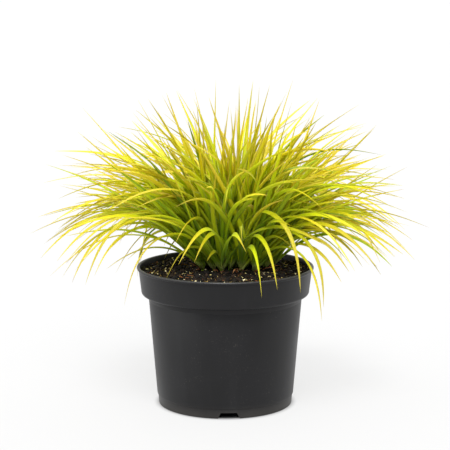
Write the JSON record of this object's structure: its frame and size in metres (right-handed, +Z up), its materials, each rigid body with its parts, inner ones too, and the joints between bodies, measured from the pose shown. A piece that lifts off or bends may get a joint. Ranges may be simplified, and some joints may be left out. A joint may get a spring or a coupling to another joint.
{
  "type": "potted ornamental grass clump",
  "caption": "Clump of arching yellow-green ornamental grass growing in a round charcoal plastic nursery pot, standing on its foot ring.",
  "frame": {"origin": "on the ground, at the centre of the pot's foot, which is also the middle of the foliage's width and depth", "axes": "+Z up, along the pot's axis; +X to the viewer's right and -Y towards the viewer, where the front drainage notch is"},
  "size_m": [0.3758, 0.3478, 0.3121],
  "materials": {
    "charcoal_plastic": "satin",
    "potting_mix": "matte",
    "grass_leaf": "satin",
    "dry_leaf": "matte"
  },
  "bodies": {
    "root": {"pot": "charcoal_plastic", "soil": "potting_mix", "shoot_01": "grass_leaf", "shoot_02": "grass_leaf", "shoot_03": "grass_leaf", "shoot_04": "grass_leaf", "shoot_05": "grass_leaf", "shoot_06": "grass_leaf", "shoot_07": "grass_leaf", "shoot_08": "grass_leaf", "shoot_09": "grass_leaf", "shoot_10": "grass_leaf", "shoot_11": "grass_leaf", "shoot_12": "grass_leaf", "shoot_13": "grass_leaf", "shoot_14": "grass_leaf", "shoot_15": "grass_leaf", "shoot_16": "grass_leaf", "shoot_17": "grass_leaf", "shoot_18": "grass_leaf", "shoot_19": "grass_leaf", "shoot_20": "grass_leaf", "shoot_21": "grass_leaf", "shoot_22": "grass_leaf", "shoot_23": "grass_leaf", "shoot_24": "grass_leaf", "shoot_25": "grass_leaf", "shoot_26": "grass_leaf", "shoot_27": "grass_leaf", "shoot_28": "grass_leaf", "shoot_29": "grass_leaf", "shoot_30": "grass_leaf", "shoot_31": "grass_leaf", "shoot_32": "grass_leaf", "shoot_33": "grass_leaf", "shoot_34": "grass_leaf", "shoot_35": "grass_leaf", "shoot_36": "grass_leaf", "dry_sheath": "dry_leaf"}
  },
  "joints": []
}
